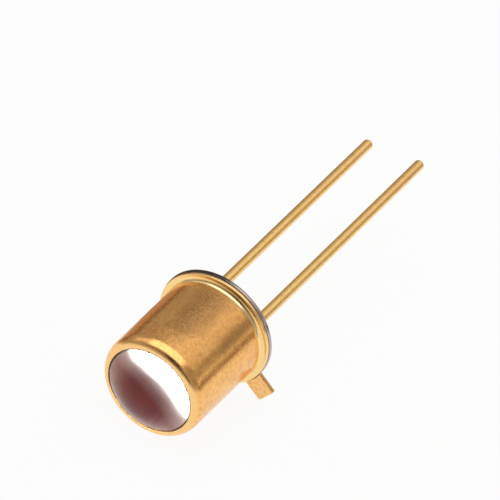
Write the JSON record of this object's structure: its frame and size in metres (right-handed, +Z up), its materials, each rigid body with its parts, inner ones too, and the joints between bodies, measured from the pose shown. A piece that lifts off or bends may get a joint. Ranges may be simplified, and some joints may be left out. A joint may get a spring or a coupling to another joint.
{
  "type": "infrared led",
  "caption": "Infrared LED in a gold-plated metal can: dark red domed lens in a turned-in rim, welded flange with an index tab, glass-sealed header and straight wire leads.",
  "frame": {"origin": "centre of the header's seating plane, on the optical axis", "axes": "+Z up as the part lies at rest, the lens faces -Y with its nose about 3.8 degrees down, the leads run to +Y and the index tab points down towards +X"},
  "size_m": [0.0057, 0.0198, 0.0054],
  "materials": {
    "gold_plate": "satin",
    "lens_glass": "gloss",
    "seal_glass": "gloss",
    "chip": "satin",
    "silver_adhesive": "matte"
  },
  "bodies": {
    "root": {"header_eyelet": "gold_plate", "header_glass": "seal_glass", "cathode_lead": "gold_plate", "anode_lead": "gold_plate", "lens_cap": "gold_plate", "lens": "lens_glass", "led_die": "chip", "die_attach": "silver_adhesive", "bond_pad": "gold_plate", "bond_wire": "gold_plate"}
  },
  "joints": []
}
